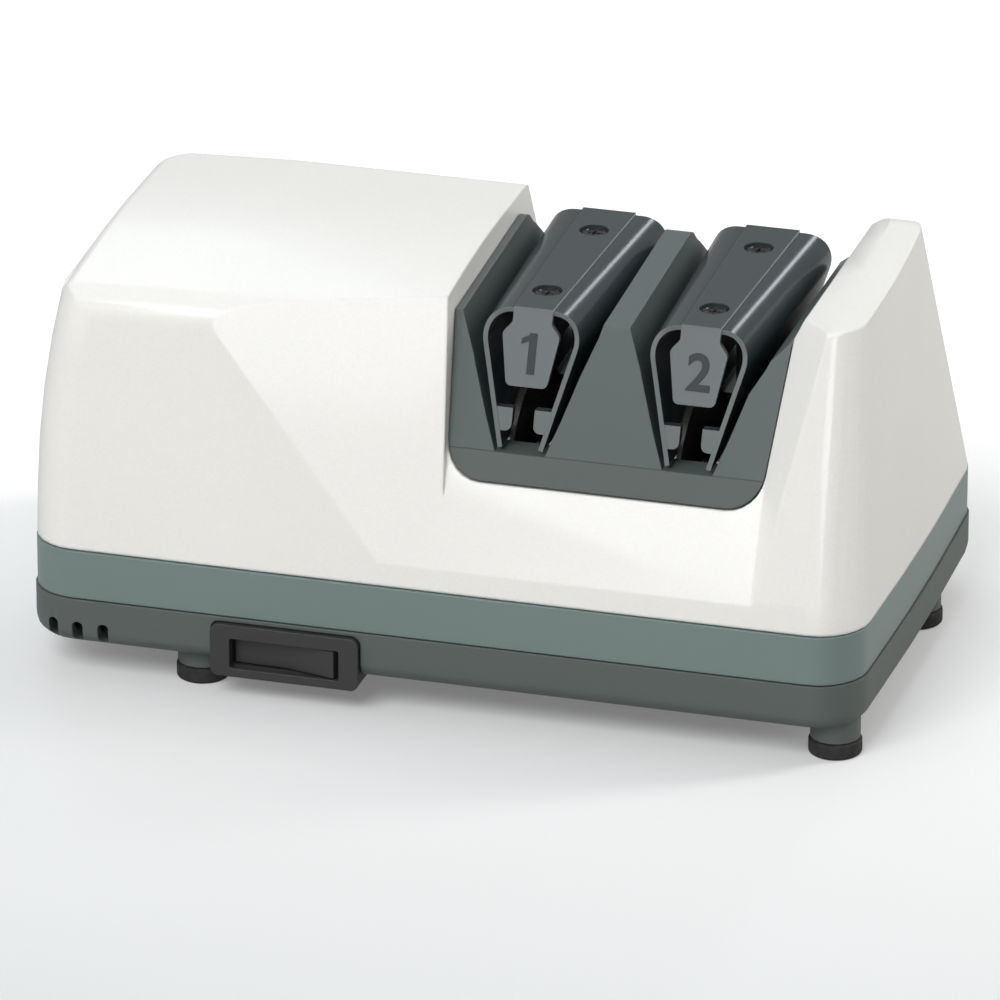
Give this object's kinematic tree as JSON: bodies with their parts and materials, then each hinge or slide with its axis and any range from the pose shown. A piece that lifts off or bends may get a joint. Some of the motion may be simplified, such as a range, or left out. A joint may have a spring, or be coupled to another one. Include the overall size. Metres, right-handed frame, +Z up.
{
  "type": "electric knife sharpener",
  "caption": "Worktop electric knife sharpener with sprung blade guides over conical grinding discs, a faceted motor housing, a raised fin, a grey trim band and a rocker switch.",
  "frame": {"origin": "on the worktop, under the middle of the whole appliance's bounding box", "axes": "+X to the user's right along the length, +Y to the back, +Z up"},
  "size_m": [0.2326, 0.1402, 0.1202],
  "materials": {
    "shell": "pearl off-white moulded plastic, soft gloss",
    "band": "grey-green satin plastic",
    "tray": "darker grey satin plastic",
    "insert": "grey-green satin plastic",
    "guide": "dark slate gloss plastic",
    "plate": "mid grey satin plastic",
    "bezel": "dark grey fine-grained plastic",
    "rubber": "near-black rubber",
    "abrasive": "plated steel disc with a fine grit face",
    "steel": "zinc-plated steel",
    "iron": "stacked iron sheet, varnished",
    "copper": "enamelled copper wire",
    "brass": "sintered bronze bush",
    "nylon": "natural nylon"
  },
  "bodies": {
    "housing": {"base_screw_1": "steel", "base_screw_2": "steel", "base_screw_3": "steel", "base_screw_4": "steel", "base_tray": "tray", "bearing_left": "brass", "bearing_outboard": "brass", "bearing_right": "brass", "bearing_stand": "nylon", "coil_former": "nylon", "cord_bush": "rubber", "foot_1": "rubber", "foot_2": "rubber", "foot_3": "rubber", "foot_4": "rubber", "guide_insert": "insert", "motor_bolt_1": "steel", "motor_bolt_2": "steel", "motor_bracket_left": "steel", "motor_bracket_right": "steel", "motor_coil": "copper", "motor_nut_1": "steel", "motor_nut_2": "steel", "motor_stator": "iron", "stage1_guide_post": "nylon", "stage1_guide_screw_1": "steel", "stage1_guide_screw_2": "steel", "stage1_number_bracket": "plate", "stage1_spring_guide": "guide", "stage2_guide_post": "nylon", "stage2_guide_screw_1": "steel", "stage2_guide_screw_2": "steel", "stage2_number_bracket": "plate", "stage2_spring_guide": "guide", "switch_bezel": "bezel", "switch_body": "bezel", "top_cover": "shell", "trim_band": "band"},
    "rotor": {"motor_shaft": "steel", "rotor_core": "iron", "cooling_fan": "nylon", "stage1_pin_left": "steel", "stage1_pin_right": "steel", "stage2_pin_left": "steel", "stage2_pin_right": "steel", "stage1_disc_spring": "steel", "stage2_disc_spring": "steel"},
    "disc_1_left": {"stage1_disc_left": "abrasive"},
    "disc_1_right": {"stage1_disc_right": "abrasive"},
    "disc_2_left": {"stage2_disc_left": "abrasive"},
    "disc_2_right": {"stage2_disc_right": "abrasive"},
    "rocker": {"rocker_button": "bezel"}
  },
  "joints": [
    {"name": "rotor_spin", "type": "hinge", "parent": "housing", "child": "rotor", "pos_m": [0, -0.0188, 0.0561], "axis": [1, 0, 0], "continuous": true},
    {"name": "disc_1_left_slide", "type": "slide", "parent": "rotor", "child": "disc_1_left", "axis": [1, 0, 0], "range_m": [0, 0.0012], "stiffness_N_per_m": 1200, "springref_m": -0.002, "deforming": ["stage1_disc_spring"]},
    {"name": "disc_1_right_slide", "type": "slide", "parent": "rotor", "child": "disc_1_right", "axis": [-1, 0, 0], "range_m": [0, 0.0012], "stiffness_N_per_m": 1200, "springref_m": -0.002, "deforming": ["stage1_disc_spring"]},
    {"name": "disc_2_left_slide", "type": "slide", "parent": "rotor", "child": "disc_2_left", "axis": [1, 0, 0], "range_m": [0, 0.0012], "stiffness_N_per_m": 1200, "springref_m": -0.002, "deforming": ["stage2_disc_spring"]},
    {"name": "disc_2_right_slide", "type": "slide", "parent": "rotor", "child": "disc_2_right", "axis": [-1, 0, 0], "range_m": [0, 0.0012], "stiffness_N_per_m": 1200, "springref_m": -0.002, "deforming": ["stage2_disc_spring"]},
    {"name": "rocker_tilt", "type": "hinge", "parent": "housing", "child": "rocker", "pos_m": [-0.04201, -0.0641, 0.0136], "axis": [0, 0, 1], "range_deg": [0, 14]}
  ]
}
